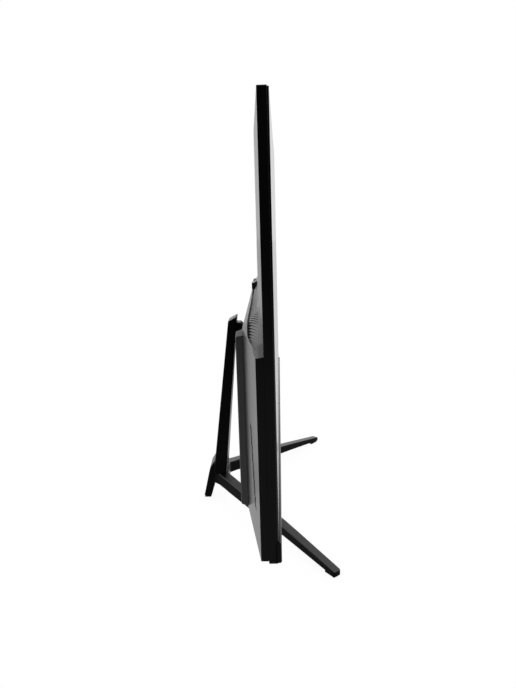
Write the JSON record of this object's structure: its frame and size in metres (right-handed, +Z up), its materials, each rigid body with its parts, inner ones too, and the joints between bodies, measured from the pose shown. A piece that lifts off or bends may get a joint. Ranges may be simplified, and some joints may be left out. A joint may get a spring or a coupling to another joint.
{
  "type": "computer monitor",
  "caption": "Slim gaming monitor with a flat screen, a raised rear block, slanted vents and a leaning column on a three-legged base.",
  "frame": {"origin": "on the table under the middle of the box round the whole monitor", "axes": "+Z up, +X along the screen's width to the right of somebody who looks at it, and the screen faces -Y"},
  "size_m": [0.614, 0.165, 0.461],
  "materials": {
    "black_plastic": "fine satin grain that mirrors at grazing angles",
    "dark_plastic": "satin, a little darker",
    "screen_glass": "anti-glare panel surface",
    "clear_sheet": "clear acrylic and film",
    "white_sheet": "white",
    "steel_sheet": "galvanised sheet",
    "circuit_board": "green solder mask",
    "socket_metal": "plated",
    "socket_plastic": "moulded black",
    "brass": "turned",
    "bright_steel": "zinc plated",
    "dark_steel": "black coat on steel",
    "cast_core": "as cast",
    "rubber": "soft pads",
    "cable": "insulated"
  },
  "bodies": {
    "stand": {"neck_arm": "dark_plastic", "neck_screws": "bright_steel", "tilt_pin": "bright_steel", "friction_washers": "bright_steel", "disc_springs": "bright_steel", "hinge_nut": "bright_steel", "column_core": "cast_core", "column_shell": "black_plastic", "column_front_cover": "black_plastic", "column_top_cap": "black_plastic", "base_hub": "black_plastic", "left_leg": "black_plastic", "right_leg": "black_plastic", "rear_foot": "black_plastic", "leg_screws": "bright_steel", "rubber_feet": "rubber"},
    "head": {"middle_frame": "black_plastic", "rear_cover": "black_plastic", "vent_grille_left": "black_plastic", "vent_grille_right": "black_plastic", "block_cover": "dark_plastic", "front_chin": "dark_plastic", "screen_panel": "screen_glass", "film_stack": "clear_sheet", "light_guide_plate": "clear_sheet", "power_light_pipe": "clear_sheet", "reflector_sheet": "white_sheet", "led_bar": "white_sheet", "backlight_tray": "steel_sheet", "chassis_plate": "steel_sheet", "main_board_shield": "steel_sheet", "lock_slot_plate": "steel_sheet", "panel_driver_board": "circuit_board", "panel_board": "circuit_board", "main_board": "circuit_board", "power_board": "circuit_board", "key_board": "circuit_board", "hdmi_socket_1": "socket_metal", "hdmi_socket_2": "socket_metal", "displayport_socket": "socket_metal", "audio_jack": "socket_plastic", "dc_inlet": "socket_plastic", "speaker_left": "socket_plastic", "speaker_right": "socket_plastic", "mount_inserts": "brass", "hinge_screws": "bright_steel", "cover_screws": "bright_steel", "board_screws": "bright_steel", "hinge_bracket": "dark_steel", "panel_cable": "cable", "supply_cable": "cable", "speaker_wires": "cable", "key_cable": "cable"},
    "joystick_gimbal": {"joystick_gimbal": "socket_plastic"},
    "joystick_stem": {"joystick_stem": "socket_plastic"},
    "joystick_cap": {"joystick_cap": "black_plastic"},
    "power_button": {"power_button": "black_plastic"},
    "hotkey_button": {"hotkey_button": "black_plastic"},
    "base_screw": {"base_screw": "bright_steel"},
    "screw_ring": {"screw_ring": "bright_steel"}
  },
  "joints": [
    {"name": "tilt", "type": "hinge", "parent": "stand", "child": "head", "pos_m": [0, 0.0207, 0.226], "axis": [-1, 0, 0], "range_deg": [-5, 20]},
    {"name": "joystick_up_down", "type": "hinge", "parent": "head", "child": "joystick_gimbal", "pos_m": [0.194, 0.0093, 0.128], "axis": [1, 0, 0], "range_deg": [-7, 7], "stiffness_Nm_per_rad": 0.12},
    {"name": "joystick_left_right", "type": "hinge", "parent": "joystick_gimbal", "child": "joystick_stem", "pos_m": [0.194, 0.0093, 0.128], "axis": [0, 0, 1], "range_deg": [-7, 7], "stiffness_Nm_per_rad": 0.12},
    {"name": "joystick_press", "type": "slide", "parent": "joystick_stem", "child": "joystick_cap", "axis": [0, -1, 0], "range_m": [0, 0.0005], "stiffness_N_per_m": 2500, "springref_m": -0.0002},
    {"name": "power_button_press", "type": "slide", "parent": "head", "child": "power_button", "axis": [0, -1, 0], "range_m": [0, 0.0008], "stiffness_N_per_m": 2000, "springref_m": -0.0002},
    {"name": "hotkey_press", "type": "slide", "parent": "head", "child": "hotkey_button", "axis": [0, -1, 0], "range_m": [0, 0.0008], "stiffness_N_per_m": 2000, "springref_m": -0.0002},
    {"name": "base_screw_turn", "type": "hinge", "parent": "stand", "child": "base_screw", "pos_m": [0, 0.057, 0.02], "axis": [0, 0, 1], "continuous": true},
    {"name": "screw_ring_fold", "type": "hinge", "parent": "base_screw", "child": "screw_ring", "pos_m": [0, 0.053, 0.0249], "axis": [1, 0, 0], "range_deg": [0, 88]}
  ]
}
